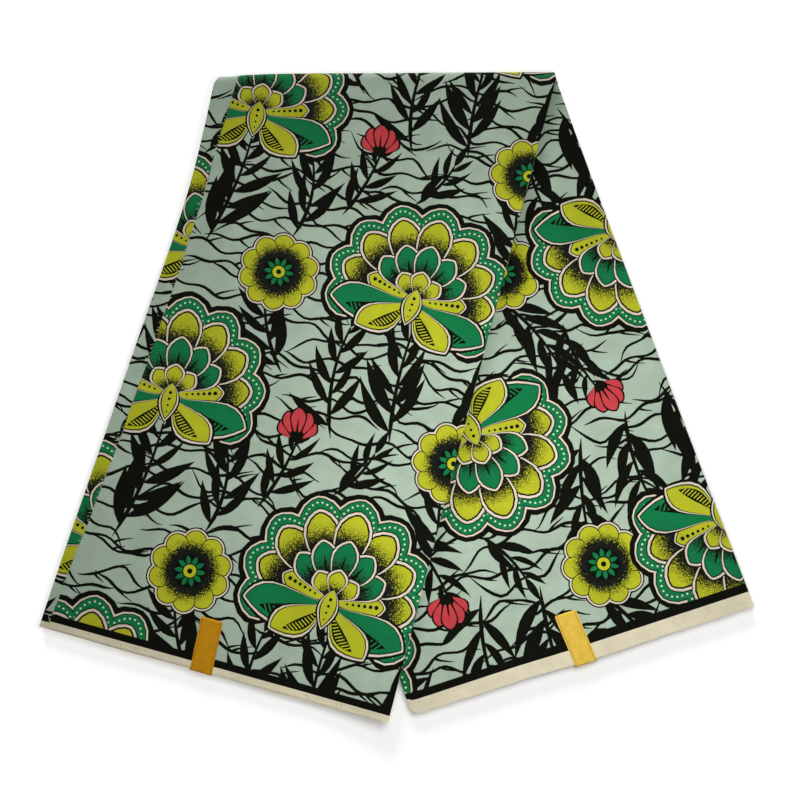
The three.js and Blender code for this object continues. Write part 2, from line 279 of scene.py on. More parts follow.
def crescent(length, half, peak, blunt, bend, near, far):
    """A band up one side of a petal, between two shares of its half width."""
    u = np.linspace(0.16, 0.86, 11)
    width = half * np.sin(np.pi * u**peak) ** blunt
    ease = np.sin(np.linspace(0, np.pi, 11)) ** 0.5 * (far - near) / 2
    middle = bend * u**2 + width * (near + far) / 2
    right = np.stack([middle + width * ease, u * length], 1)
    left = np.stack([middle - width * ease, u * length], 1)
    return np.concatenate([right, left[-2:0:-1]])


def rungs(length, half, peak, blunt, bend, near, far, count):
    """Short strokes across such a band."""
    strokes = []
    for u in np.linspace(0.25, 0.78, count):
        width = half * math.sin(math.pi * u**peak) ** blunt
        low, high = (bend * u * u + width * share for share in (near, far))
        y, rise, thick = u * length, 0.9, length * 0.53 / count * 0.42
        strokes.append(np.array([[low, y], [high, y - rise], [high, y - rise + thick], [low, y + thick]]))
    return strokes


def disc(x, y, radius, corners=6):
    a = 2 * np.pi * (np.arange(corners) + 0.25) / corners
    return np.stack([x + radius * np.cos(a), y + radius * np.sin(a)], 1)


def inside(points, outline):
    """Which points lie inside an outline."""
    a, b = outline, np.roll(outline, -1, axis=0)
    x, y = points[:, :1], points[:, 1:]
    crosses = (a[:, 1] > y) != (b[:, 1] > y)
    rise = np.where(b[:, 1] == a[:, 1], 1e-9, b[:, 1] - a[:, 1])
    return (crosses & (x < a[:, 0] + (y - a[:, 1]) / rise * (b[:, 0] - a[:, 0]))).sum(1) % 2 == 1


def evenly(outline, spacing):
    """Points at equal steps round a closed outline."""
    closed = np.concatenate([outline, outline[:1]])
    reach = np.concatenate([[0], np.cumsum(np.hypot(*np.diff(closed, axis=0).T))])
    at = np.arange(0, reach[-1] - spacing / 2, spacing)
    return np.stack([np.interp(at, reach, closed[:, k]) for k in (0, 1)], 1)


def ribbon(middle, half):
    """A tapering stroke about a line of points, with a half width at each."""
    along = np.gradient(middle, axis=0)
    side = np.stack([along[:, 1], -along[:, 0]], 1) / np.hypot(*along.T)[:, None]
    right = middle + side * half[:, None]
    left = middle - side * half[:, None]
    return np.concatenate([right, left[::-1]])


def piled(length, lean, shape, rows, steps=12):
    """Petals one on another at one lean. Each row is how much longer one is, its half width, its ink,
    and where its stipple starts and ends, if it has any."""
    pile = []
    for more, half, ink, *stipple in rows:
        points = turned(petal(length + more, half, *shape, steps=steps), lean)
        pile.append((points, ink, (0, 0, *stipple) if stipple else None))
    return pile


def mirrored(points, lean, side):
    """A shape turned to its lean on the right side, or the mirror image of that on the left."""
    return (turned(points, lean) * [side, 1])[::side]


# The outline of the petals of each flower: where it is widest, and how blunt it is
RIM, FAN, WING, HEART, EYE = (2.6, 0.6), (2.4, 0.62), (1.9, 0.75), (2.1, 0.72), (1.9, 0.8)
RAYS, STRIPE, BUD = (2.3, 0.55), (1.0, 0.8), (2.0, 0.7)
SEPALS = [
    {"lean": 118, "length": 66, "half": 15.0, "bend": 16, "ink": GREEN},
    {"lean": 142, "length": 50, "half": 12.0, "bend": 10, "ink": LIME},
]


def blossom():
    """The large flower: a fan of broad petals with a dotted rim, green petals inside, sepals below."""
    shapes = []
    fan = [(lean, 84 - 0.0011 * lean * lean) for lean in range(-104, 105, 26)]
    fan.sort(key=lambda row: -abs(row[0]))
    for row in ((6.4, 22.8, BLACK), (2.5, 19.0, OUTLINE), (1.2, 17.7, BLACK), (0.4, 17.0, GREEN)):
        for lean, length in fan:
            shapes += piled(length, lean, RIM, [row])
    rims = [turned(petal(length - 1.0, 15.6, *RIM), lean) for lean, length in fan]
    for k, (lean, length) in enumerate(fan):
        dots = evenly(turned(petal(length - 2.6, 14.2, *RIM), lean), 4.3)
        free = np.hypot(*dots.T) > 0.5 * length
        for other in rims[:k] + rims[k + 1:]:
            free &= ~inside(dots, other)
        shapes += [(disc(x, y, 0.95, 5), DOTS, None) for x, y in dots[free]]
    for lean, length in fan:
        shapes += piled(length, lean, FAN, ((-7.4, 15.8, BLACK), (-8.4, 15.0, OUTLINE), (-10.4, 13.3, BLACK),
                                            (-11.9, 12.1, PETAL, 40, 68)))
    for lean in (-78, 78):
        shapes += piled(43, lean, WING, ((3.0, 11.2, BLACK), (2.0, 10.2, OUTLINE), (0.9, 9.1, BLACK),
                                         (0, 8.3, LIME)))
        for k in range(6):
            x, y = turned(np.array([[0, 14 + 4.7 * k]]), lean)[0]
            shapes.append((disc(x, y, 1.0 + 0.16 * k, 7), BLACK, None))
    for lean in (-52, 52, -26, 26, 0):
        length = 49 - 0.0014 * lean * lean
        shapes += piled(length, lean, HEART, ((3.2, 12.0, BLACK), (2.2, 11.1, OUTLINE), (0.6, 9.6, BLACK),
                                              (-0.4, 8.8, SEPAL, 16, 42)))
        shapes += piled(length * 0.8, lean, (1.2, 0.8), [(0, 1.2, BLACK)])
    for lean in (-40, 40, 0):
        shapes += piled(25, lean, EYE, ((3.2, 9.6, BLACK), (2.2, 8.7, OUTLINE), (0.6, 7.2, BLACK),
                                        (-0.4, 6.5, PETAL, 4, 21)))
    for side in (-1, 1):
        for row in SEPALS:
            lean, length, half, ink = (row[key] for key in ("lean", "length", "half", "ink"))
            form = (1.6, 0.85, -row["bend"])
            lines = ((4.2, 4.6, BLACK), (2.3, 2.4, OUTLINE), (0.7, 0.8, BLACK), (-0.2, -0.2, ink))
            for more, grow, edge in lines:
                leaf = petal(length + more, half + grow, *form)
                shapes.append((mirrored(leaf, lean, side), edge, None))
            dark = crescent(length, half, *form, 0.0, 0.84)
            shapes.append((mirrored(dark, lean, side), BLACK, None))
            for rung in rungs(length, half, *form, 0.16, 0.7, 11):
                shapes.append((mirrored(rung, lean, side), ink, None))
    for more, half, ink in ((4, 9.4, BLACK), (2.6, 8.0, OUTLINE), (1.3, 6.8, BLACK), (0, 5.8, LIME)):
        shapes.append((turned(petal(30 + more, half, 0.9, 0.9), 180) + [0, 10], ink, None))
    for k in range(4):
        shapes.append((disc(0, 2 - 5.4 * k, 1.5 - 0.25 * k, 7), BLACK, None))
    return shapes


def daisy():
    """A small flower seen full face, with a black eye and green rays."""
    shapes = []
    leans = [36 * k for k in range(10)]
    for row in ((2.6, 11.2, BLACK), (1.5, 10.2, OUTLINE)):
        for lean in leans:
            shapes += piled(33, lean, RAYS, [row])
    for lean in leans:
        shapes += piled(33, lean, RAYS, ((0.3, 9.2, BLACK), (-0.5, 8.5, PETAL, 13, 29)))
    shapes.append((disc(0, 0, 13.2, 20), BLACK, None))
    for lean in leans:
        shapes += piled(12.6, lean + 18, (1.7, 0.8), [(0, 1.9, GREEN)], steps=6)
    for radius, ink in ((6.4, BLACK), (5.3, LIME), (2.2, BLACK)):
        shapes.append((disc(0, 0, radius, 14), ink, None))
    return shapes


def bud():
    """A striped coral bud on a short calyx."""
    shapes = []
    for lean, length in ((-42, 19), (42, 19), (-21, 23), (21, 23), (0, 25)):
        shapes += piled(length, lean, BUD, ((1.7, 6.6, BLACK), (0.5, 5.4, CORAL)))
        shapes += piled(length * 0.72, lean, STRIPE, [(0, 0.8, BLACK)], steps=6)
    for lean in (-28, 28, 0):
        shapes += piled(9, lean, STRIPE, [(0, 3.0, BLACK)], steps=6)
    return shapes


def sprig(draw, length, lean, curve, leaves, leaf):
    """A black stem that grows up from its foot, with slender pointed leaves to both sides."""
    u = np.linspace(0, 1, 12)
    heading = np.radians(lean + curve * u)
    step = length / 11
    middle = np.stack([np.cumsum(np.sin(heading)), np.cumsum(np.cos(heading))], 1) * step
    shapes = [(ribbon(middle, (2.3 - 1.3 * u) * np.clip(0.12 + 5 * u, 0, 1)), BLACK, None)]
    for k in range(leaves):
        at = 0.08 + 0.92 * (k + 0.3) / leaves
        x, y = (np.interp(at, u, middle[:, axis]) for axis in (0, 1))
        side = 1 if k % 2 else -1
        outward = lean + curve * at + side * draw.uniform(34, 56)
        size = leaf * draw.uniform(0.85, 1.15) * (1.14 - 0.45 * at)
        bend = side * size * draw.uniform(-0.42, -0.12)
        blade = petal(size, size * draw.uniform(0.09, 0.125), 0.86, 1.1, bend=bend, steps=10)
        shapes.append((turned(blade, outward) + [x, y], BLACK, None))
    tip = petal(leaf * 0.72, leaf * 0.1, 0.86, 1.1, steps=8)
    shapes.append((turned(tip, lean + curve) + middle[-1], BLACK, None))
    return shapes


def stamped(shapes, x, y, lean=0.0, size=1.0):
    """A motif's shapes put down at a place on the cloth."""
    placed = []
    for points, ink, shade in shapes:
        points = turned(points * size, lean) + [x, y]
        if shade:
            shade = (x, y, shade[2] * size, shade[3] * size)
        placed.append((points, ink, shade))
    return placed


# One repeat of the print, half dropped: where each motif stands, how far it leans, and its size
REPEAT = {"wide": 392.0, "tall": 292.0}
MOTIFS = [
    {"motif": "blossom", "x": 248, "y": 88, "lean": 4, "size": 1.13},
    {"motif": "blossom", "x": 51, "y": 234, "lean": -5, "size": 1.13},
    {"motif": "daisy", "x": 324, "y": 239, "lean": 8, "size": 1.13},
    {"motif": "daisy", "x": 117, "y": 82, "lean": -6, "size": 1.13},
    {"motif": "bud", "x": 178, "y": 221, "lean": -10, "size": 1.25},
    {"motif": "bud", "x": 376, "y": 76, "lean": 14, "size": 1.25},
]
SPRIG_MEASURES = ("x", "y", "length", "lean", "curve", "leaves", "leaf")
SPRIGS = [dict(zip(SPRIG_MEASURES, row)) for row in (
    (264, -62, 114, -12, 16, 12, 52),
    (36, 84, 114, 18, -20, 12, 52),
    (347, 114, 100, -24, 18, 11, 50),
    (152, -17, 79, -44, 30, 9, 43),
    (157, 148, 74, 26, -20, 8, 38),
    (364, 7, 67, -6, 26, 8, 36),
    (302, -40, 100, 42, -34, 11, 48),
    (117, 112, 83, 22, -44, 9, 45),
    (212, -69, 109, -24, 34, 10, 48),
    (2, 102, 100, -18, 30, 10, 45),
    (221, 178, 55, 46, -30, 6, 36),
)]
RIPPLE = {"pitch": 13.2, "half": 1.35, "twigs": 2, "merge": 26, "taper": 13}


def ripple_row(row, x):
    """The height of a row of ripples at places across the cloth."""
    wave = 3.6 * np.sin(2 * np.pi * (x / 97 + row * 0.31)) + 2.7 * np.sin(2 * np.pi * (x / 41 - row * 0.23))
    return row * RIPPLE["pitch"] + wave + 2.4 * math.sin(row * 2.4)


def ripples(left, right, low, high):
    """Rows of wavy strokes that taper to their ends, many of them run into the row above or below."""
    shapes = []
    first, last = int(low / RIPPLE["pitch"]) - 1, int(high / RIPPLE["pitch"]) + 2
    for row in range(first, last):
        draw = np.random.default_rng(4100 + row)
        x = -60 - draw.uniform(0, 90)
        while x < 700:
            length = draw.uniform(60, 150)
            gap = draw.uniform(3, 12)
            leads, tails = draw.integers(-1, 2, 2)
            twigs = [(draw.uniform(0.15, 0.85), draw.choice((-1, 1)), draw.uniform(9, 21))
                     for _ in range(RIPPLE["twigs"])]
            steps = max(int(length / 5), 10)
            u = np.linspace(0, 1, steps)
            xs = x + u * length
            if xs[-1] > left and xs[0] < right:
                into = np.clip(1 - u * length / RIPPLE["merge"], 0, 1) ** 1.6
                out = np.clip(1 - (1 - u) * length / RIPPLE["merge"], 0, 1) ** 1.6
                y = ripple_row(row, xs)
                y += into * (ripple_row(row + leads, xs) - y) if leads else 0
                y += out * (ripple_row(row + tails, xs) - y) if tails else 0
                ends = np.minimum(u, 1 - u) * length / RIPPLE["taper"]
                half = RIPPLE["half"] * np.clip(ends, 0.12, 1) ** 0.7
                half *= 1 + 0.16 * np.sin(xs / 9 + row)
                shapes.append((ribbon(np.stack([xs, y], 1), half), BLACK, None))
                for at, way, reach in twigs:
                    v = np.linspace(0, 1, 5)
                    foot = x + at * length
                    rise = np.interp(foot, xs, y) + way * reach * 0.5 * v**0.75
                    twig = np.stack([foot + reach * v, rise], 1)
                    shapes.append((ribbon(twig, RIPPLE["half"] * (1 - 0.8 * v)), BLACK, None))
            x += length + gap
    return shapes


def printed(left, right, low, high):
    """Everything printed inside a stretch of the cloth, in the order that it lies."""
    shapes = ripples(left, right, low, high)
    drawn = {"blossom": blossom(), "daisy": daisy(), "bud": bud()}
    draw = np.random.default_rng(77)
    grown = [sprig(draw, *(row[key] for key in SPRIG_MEASURES[2:])) for row in SPRIGS]
    wide, tall = REPEAT["wide"], REPEAT["tall"]
    cells = [(i * wide, j * tall)
             for i in range(int(left // wide) - 1, int(right // wide) + 2)
             for j in range(int(low // tall) - 1, int(high // tall) + 2)]
    for x, y in cells:
        for row, shape in zip(SPRIGS, grown):
            shapes += stamped(shape, row["x"] + x, row["y"] + y)
    for x, y in cells:
        for row in MOTIFS:
            shapes += stamped(drawn[row["motif"]], row["x"] + x, row["y"] + y, row["lean"], row["size"])
    kept = []
    for points, ink, shade in shapes:
        if points[:, 0].max() > left and points[:, 0].min() < right:
            if points[:, 1].max() > low and points[:, 1].min() < high:
                kept.append((points, ink, shade))
    return kept


# Points nearer than this are one, and the inner points of a sheet stand a little off a straight grid
WELD = 0.002
GRID_STIR = {"share": 0.11, "wave": 1.7}


def cut_flat(outline, faces, edges, blocks):
    """Joins an outline, faces and edges into one flat set of triangles inside the outline, each with
    the last face that covers it."""
    count = len(outline)
    points = [Vector(p) for p in np.concatenate([outline, *blocks]).tolist()]
    faces = [list(range(count))] + faces
    found, _, triangles, _, _, owners = delaunay_2d_cdt(points, edges, faces, 1, WELD, True)
    kept = [(tri, max(own) - 1) for tri, own in zip(triangles, owners) if 0 in own]
    place = np.array([tuple(p) for p in found])
    tris = np.array([tri for tri, _ in kept])
    used, tris = np.unique(tris, return_inverse=True)
    return place[used], tris.reshape(-1, 3), np.array([own for _, own in kept])


def colour_edges(triangles, inks):
    """The edges where two inks meet."""
    pairs = np.concatenate([triangles[:, [0, 1]], triangles[:, [1, 2]], triangles[:, [2, 0]]])
    ink = np.tile(inks, 3)
    forward = {(a, b): k for (a, b), k in zip(pairs.tolist(), ink.tolist())}
    return [(a, b) for (a, b), k in forward.items() if a < b and forward.get((b, a), k) != k]


def flat_mesh(outline, creases, shapes, spacing):
    """Cuts a flat sheet along its outline, its print and its creases. Returns the points, the triangles,
    and the last printed shape that covers each triangle, or -1 on the bare ground."""
    low, high = outline.min(0), outline.max(0)
    xs = np.arange(low[0] + spacing / 2, high[0], spacing)
    ys = np.arange(low[1] + spacing / 2, high[1], spacing)
    grid = np.stack(np.meshgrid(xs, ys), -1).reshape(-1, 2)
    grid = grid + GRID_STIR["share"] * spacing * np.sin(grid[:, ::-1] * GRID_STIR["wave"])
    grid = grid[inside(grid, outline)]
    blocks, faces, edges, count = [], [], [], len(outline)
    for points, _, _ in shapes:
        blocks.append(points)
        faces.append(list(range(count, count + len(points))))
        count += len(points)
    lookup = None
    if shapes:
        points, triangles, owner = cut_flat(outline, faces, [], blocks)
        inks = np.array([GROUND] + [ink for _, ink, _ in shapes])[owner + 1]
        lines = np.array(colour_edges(triangles, inks))
        used, lines = np.unique(lines, return_inverse=True)
        flat = np.pad(points, ((0, 0), (0, 1)))
        lookup = BVHTree.FromPolygons(flat.tolist(), triangles.tolist()), owner
        edges = (lines.reshape(-1, 2) + len(outline)).tolist()
        blocks, count = [points[used]], len(outline) + len(used)
    for line in creases:
        blocks.append(line)
        edges += [(count + k, count + k + 1) for k in range(len(line) - 1)]
        count += len(line)
    blocks.append(grid)
    points, triangles, owner = cut_flat(outline, [], edges, blocks)
    if lookup:
        centres = np.pad(points[triangles].mean(1), ((0, 0), (0, 1)))
        hits = [lookup[0].find_nearest(centre)[2] for centre in centres.tolist()]
        owner = lookup[1][np.array(hits)]
    return points, triangles, owner


def rim_loops(triangles):
    """The closed boundary loops of a set of triangles, the longest first."""
    edges = np.concatenate([triangles[:, [0, 1]], triangles[:, [1, 2]], triangles[:, [2, 0]]]).tolist()
    keys = {tuple(e) for e in edges}
    onward = {}
    for a, b in edges:
        if (b, a) not in keys:
            onward.setdefault(a, []).append(b)
    loops = []
    while onward:
        path = [next(iter(onward))]
        while True:
            ends = onward[path[-1]]
            following = ends.pop()
            if not ends:
                del onward[path[-1]]
            if following in path:
                start = path.index(following)
                loops.append(path[start:])
                path = path[:start + 1]
                if start == 0 and path[0] not in onward:
                    break
                if path[-1] not in onward:
                    break
            else:
                path.append(following)
    return sorted(loops, key=len, reverse=True)


def closed_sheet(triangles, owners):
    """Fills the pinholes that the cutting leaves where points nearly meet."""
    outer, *holes = rim_loops(triangles)
    patches = [(hole[0], hole[k + 1], hole[k]) for hole in holes for k in range(1, len(hole) - 1)]
    if patches:
        triangles = np.concatenate([triangles, np.array(patches)])
        owners = np.concatenate([owners, np.full(len(patches), -1)])
    return triangles, owners, np.array(outer)


def make_piece(name, points, faces, corner_normals, materials, face_materials, layers, bake):
    """A mesh piece from its points, faces and normals, with its point layers and its UV map for baking."""
    mesh = bpy.data.meshes.new(name)
    mesh.vertices.add(len(points))
    mesh.vertices.foreach_set("co", (points * MM).astype(np.float32).ravel())
    flat = np.concatenate([np.asarray(f, np.int32) for f in faces])
    sizes = np.array([len(f) for f in faces], np.int32)
    mesh.loops.add(len(flat))
    mesh.loops.foreach_set("vertex_index", flat)
    mesh.polygons.add(len(faces))
    mesh.polygons.foreach_set("loop_start", np.concatenate([[0], np.cumsum(sizes)[:-1]]).astype(np.int32))
    mesh.polygons.foreach_set("material_index", np.asarray(face_materials, np.int32))
    for material in materials:
        mesh.materials.append(material)
    mesh.update(calc_edges=True)
    mesh.polygons.foreach_set("use_smooth", np.ones(len(faces), bool))
    for layer, (kind, domain, values) in layers.items():
        attribute = mesh.attributes.new(layer, kind, domain)
        field = "vector" if kind == "FLOAT_VECTOR" else "value"
        attribute.data.foreach_set(field, values.astype(np.float32).ravel())
    uv = mesh.uv_layers.new(name="OFBake")
    uv.data.foreach_set("uv", bake.astype(np.float32).ravel())
    if corner_normals is not None:
        mesh.normals_split_custom_set(corner_normals.astype(np.float32).tolist())
    piece = bpy.data.objects.new(name, mesh)
    bpy.context.scene.collection.objects.link(piece)
    return piece


# The shares of the bake's width that the face and the back of a sheet take
BAKE = {"face": 0.9016, "back_from": 0.93, "back": 0.07}
# Where a shape without stipple has its shade, which is then 1 all over
NO_STIPPLE = (0, 0, -2, -1)


def cloth_piece(name, sheet, outline, creases, shapes, materials, reverse, spacing, left=LEFT):
    """A closed thin shell of printed cloth: its printed face, its plain back and the rim between."""
    flat, top, owner = flat_mesh(outline, creases, shapes, spacing)
    top, owner, loop = closed_sheet(top, owner)
    ink = np.array([GROUND] + [s[1] for s in shapes])[owner + 1]
    under_flat, under, under_owner = flat_mesh(flat[loop], creases, [], spacing * 1.6)
    under, _, back_loop = closed_sheet(under, under_owner)
    count = len(flat)
    face_points = sheet.place(flat[:, 0], flat[:, 1], 0.0, left)
    back_points = sheet.place(under_flat[:, 0], under_flat[:, 1], CLOTH, left)
    points = np.concatenate([face_points, back_points])
    gaps = np.linalg.norm(flat[loop][:, None] - under_flat[back_loop][None], axis=2)
    partner = dict(zip(loop.tolist(), (back_loop[gaps.argmin(1)] + count).tolist()))
    walls = []
    for a, b in zip(loop.tolist(), np.roll(loop, -1).tolist()):
        walls.append((b, a, partner[a]))
        if partner[a] != partner[b]:
            walls.append((b, partner[a], partner[b]))
    walls = np.array(walls)
    backs = under[:, ::-1] + count
    if sheet.outward < 0:
        top, backs, walls = top[:, ::-1], backs[:, ::-1], walls[:, ::-1]
    faces = np.concatenate([top, backs, walls])
    face_normals = sheet.facing(flat[:, 0], flat[:, 1], 0.0, left)
    back_normals = -sheet.facing(under_flat[:, 0], under_flat[:, 1], CLOTH, left)
    normals = np.concatenate([face_normals, back_normals])[faces]
    a, b, c = (points[walls[:, k]] for k in range(3))
    wall_normals = np.cross(b - a, c - a)
    size = np.linalg.norm(wall_normals, axis=1, keepdims=True)
    wall_normals = np.where(size > 1e-9, wall_normals / np.maximum(size, 1e-9), [0, 0, 1])
    normals[len(top) + len(backs):] = wall_normals[:, None, :]
    flat_all = np.concatenate([flat, under_flat])
    corners = flat_all[faces.ravel()]
    faced = len(top) * 3
    shade = np.ones(len(faces) * 3)
    centres = np.array([s[2] or NO_STIPPLE for s in shapes] or [NO_STIPPLE], float)
    shaded = np.repeat(np.clip(owner, 0, None), 3)
    x, y, near, far = centres[shaded].T
    reach = np.hypot(corners[:faced, 0] - x, corners[:faced, 1] - y)
    shade[:faced] = np.clip((reach - near) / (far - near), 0, 1)
    kinds = np.concatenate([ink, np.full(len(backs) + len(walls), len(INKS))])
    low, high = flat.min(0), flat.max(0)
    bake = (corners - low) / (high - low)
    bake[:faced, 0] *= BAKE["face"]
    bake[faced:, 0] = BAKE["back_from"] + bake[faced:, 0] * BAKE["back"]
    layers = {
        "cloth": ("FLOAT_VECTOR", "POINT", np.concatenate([flat_all, np.zeros((len(flat_all), 1))], 1)),
        "shade": ("FLOAT", "CORNER", shade),
    }
    return make_piece(name, points, faces, normals.reshape(-1, 3), materials + [reverse], kinds, layers, bake)


class Link:
    """A number that runs through a material's nodes."""

    def __init__(self, surface, socket):
        self.surface, self.socket = surface, socket

    def math(self, operation, other=None, first=False):
        sockets = (other, self) if first else (self, other)
        values = {k: v for k, v in enumerate(sockets) if v is not None}
        return self.surface.node("ShaderNodeMath", {"operation": operation}, values)[0]

    def __add__(self, other):
        return self.math("ADD", other)

    def __radd__(self, other):
        return self.math("ADD", other)

    def __sub__(self, other):
        return self.math("SUBTRACT", other)

    def __rsub__(self, other):
        return self.math("SUBTRACT", other, first=True)

    def __mul__(self, other):
        return self.math("MULTIPLY", other)

    def __rmul__(self, other):
        return self.math("MULTIPLY", other)

    def __truediv__(self, other):
        return self.math("DIVIDE", other)

    def sine(self):
        return self.math("SINE")

    def clamped(self):
        return self.surface.node("ShaderNodeClamp", {}, {0: self})[0]

    def above(self, edge, soft):
        """1 where the number is past an edge, with a soft step."""
        return ((self - edge) / soft + 0.5).clamped()


class Surface:
    """A material under way, and its Principled shader."""

    def __init__(self, name, **constants):
        self.material = bpy.data.materials.new(name)
        self.material.use_nodes = True
        self.tree = self.material.node_tree
        self.shader = self.tree.nodes["Principled BSDF"]
        for socket, value in constants.items():
            self.shader.inputs[socket.replace("_", " ")].default_value = value

    def put(self, socket, value):
        if isinstance(value, Link):
            self.tree.links.new(value.socket, socket)
        else:
            socket.default_value = value

    def node(self, kind, settings, values):
        """Adds a node. Settings come first, then the values or links of its sockets."""
        node = self.tree.nodes.new(kind)
        for key, value in settings.items():
            setattr(node, key, value)
        for key, value in values.items():
            self.put(node.inputs[key], value)
        return [Link(self, socket) for socket in node.outputs]

    def mixed(self, factor, first, second):
        """A colour between two colours."""
        node = self.tree.nodes.new("ShaderNodeMix")
        node.data_type = "RGBA"
        for place, value in ((0, factor), (6, first), (7, second)):
            self.put(node.inputs[place], value)
        return Link(self, node.outputs[2])

    def noise(self, where, scale, detail=2.0, rough=0.5):
        values = {"Vector": where, "Scale": scale, "Detail": detail, "Roughness": rough}
        return self.node("ShaderNodeTexNoise", {}, values)[0]

    def finished(self, colour=None, bump=None, strength=0.3, rough=None):
        if colour is not None:
            self.put(self.shader.inputs["Base Color"], colour)
        if rough is not None:
            self.put(self.shader.inputs["Roughness"], rough)
        if bump is not None:
            values = {"Strength": strength, "Distance": 0.0002, "Height": bump}
            normal = self.node("ShaderNodeBump", {}, values)[0]
            self.put(self.shader.inputs["Normal"], normal)
        return self.material


def paint(red, green, blue):
    """A colour given as it looks on a screen, 0 to 255."""
    def linear(v):
        v /= 255
        return v / 12.92 if v <= 0.04045 else ((v + 0.055) / 1.055) ** 2.4
    return (linear(red), linear(green), linear(blue), 1.0)


def on_cloth(surface):
    """The place on the cloth in millimetres, as a vector and its two numbers."""
    where = surface.node("ShaderNodeAttribute", {"attribute_name": "cloth"}, {})[1]
    parts = surface.node("ShaderNodeSeparateXYZ", {}, {0: where})
    return where, parts[0], parts[1]


def weave(surface, across, along):
    """The height of a plain weave."""
    warp = (across * (2 * math.pi / THREAD)).sine()
    weft = (along * (2 * math.pi / THREAD)).sine()
    return warp * weft


THREAD = 0.72
DYES = {
    "ground": (165, 183, 164), "black": (12, 13, 8), "outline": (212, 200, 180), "green": (6, 114, 64),
    "lime": (178, 182, 34), "petal": (178, 182, 34), "sepal": (6, 114, 64), "coral": (187, 60, 66),
    "selvedge": (219, 210, 182), "dots": (206, 218, 190),
}


# How the stipple of the print is set out: how close its grains lie, and how far they reach
STIPPLE = {"scale": 1.1, "cover": 1.3, "soft": 0.3}


def cotton(ink):
    """Printed cotton in one of its dyes: a close plain weave, with a faintly uneven dye."""
    gloss, lift, drop = (0.04, 1.7, 0.6) if ink == "black" else (0.15, 1.12, 0.88)
    surface = Surface("printed_" + ink, Roughness=0.8, Specular_IOR_Level=gloss)
    where, across, along = on_cloth(surface)
    cloudy = surface.noise(where, 0.035, 3.0, 0.6)
    slubs = surface.noise(where, 1.1, 2.0, 0.7)
    pale = paint(*(min(v * lift, 252) for v in DYES[ink]))
    deep = paint(*(v * drop for v in DYES[ink]))
    amount = (cloudy - 0.5) * 0.9 + (slubs - 0.5) * 0.55 + 0.5
    colour = surface.mixed(amount.clamped(), deep, pale)
    if ink in ("petal", "sepal"):
        shade = surface.node("ShaderNodeAttribute", {"attribute_name": "shade"}, {})[2]
        grains = surface.node("ShaderNodeTexVoronoi", {}, {"Vector": where, "Scale": STIPPLE["scale"]})[0]
        inked = (1 - shade) * STIPPLE["cover"] - grains
        colour = surface.mixed(inked.above(0.0, STIPPLE["soft"]), colour, paint(*DYES["black"]))
    return surface.finished(colour, weave(surface, across, along) + slubs * 1.5, 0.35)


def plain_reverse():
    """The back of the cloth, where the print has gone through paler, and its cut edges."""
    surface = Surface("cloth_reverse", Roughness=0.85, Specular_IOR_Level=0.22)
    where, across, along = on_cloth(surface)
    colour = surface.mixed(surface.noise(where, 0.4, 3.0, 0.6), paint(150, 168, 152), paint(212, 214, 196))
    return surface.finished(colour, weave(surface, across, along), 0.35)


INK_FINISHES = [cotton(ink) for ink in INKS]
REVERSE = plain_reverse()


def band(near, far, ink, low=-30.0, high=360.0):
    """A printed band along an end of the cloth, between two distances from it."""
    xs = np.linspace(low, high, 50)
    foot, head = (np.stack([xs, np.full(50, y)], 1) for y in (near, far))
    return np.concatenate([foot, head[::-1]]), ink, None


# The printed bands along the two selvedges, by their distance from the edge
SELVEDGES = {
    "left": [(-8.0, 6.0, SELVEDGE), (6.0, 12.5, BLACK)],
    "right": [(-8.0, 12.5, SELVEDGE), (12.5, 19.5, BLACK)],
}
CLOTH_LENGTH = 1190.0


SPECKS = {"count": 14, "seed": 9, "small": 0.35, "large": 0.8, "from": 6, "to": 318}


def specks(width):
    """Stray black specks in the cream band of a selvedge."""
    draw = np.random.default_rng(SPECKS["seed"])
    shapes = []
    for _ in range(SPECKS["count"]):
        x = draw.uniform(SPECKS["from"], SPECKS["to"])
        y = draw.uniform(1.5, width - 1.2)
        size = draw.uniform(SPECKS["small"], SPECKS["large"])
        speck = disc(x, y, size, 5)
        speck[2] += [size * 2, 0.3]
        shapes.append((speck, BLACK, None))
    return shapes


def print_on(leg, phase, left, right, far):
    """The print on one sheet, in its own measures: across it, and far from the end of its leg."""
    if leg == "left":
        shapes = printed(left + phase, right + phase, -10, far)
        moved = [(p - [phase, 0], ink, s and (s[0] - phase, *s[1:])) for p, ink, s in shapes]
    else:
        shapes = printed(left + phase, right + phase, CLOTH_LENGTH - far, CLOTH_LENGTH + 10)
        moved = []
        for p, ink, s in shapes:
            p = np.stack([p[:, 0] - phase, CLOTH_LENGTH - p[:, 1]], 1)[::-1]
            moved.append((p, ink, s and (s[0] - phase, CLOTH_LENGTH - s[1], s[2], s[3])))
    moved += [band(near, to, ink) for near, to, ink in SELVEDGES[leg]]
    return moved + specks(SELVEDGES[leg][0][1])


WRAP = (math.pi - 1) * EDGE_FOLD + 4.0


def edge_line(sheet, column, fars, more):
    """Points up one side of a sheet, at a distance outside that side of the stack."""
    across = np.zeros(len(fars)) if column != RIGHT else np.full(len(fars), PACK_WIDTH)
    side = sheet.side(column, across, fars)
    return np.stack([side + more, fars], 1)


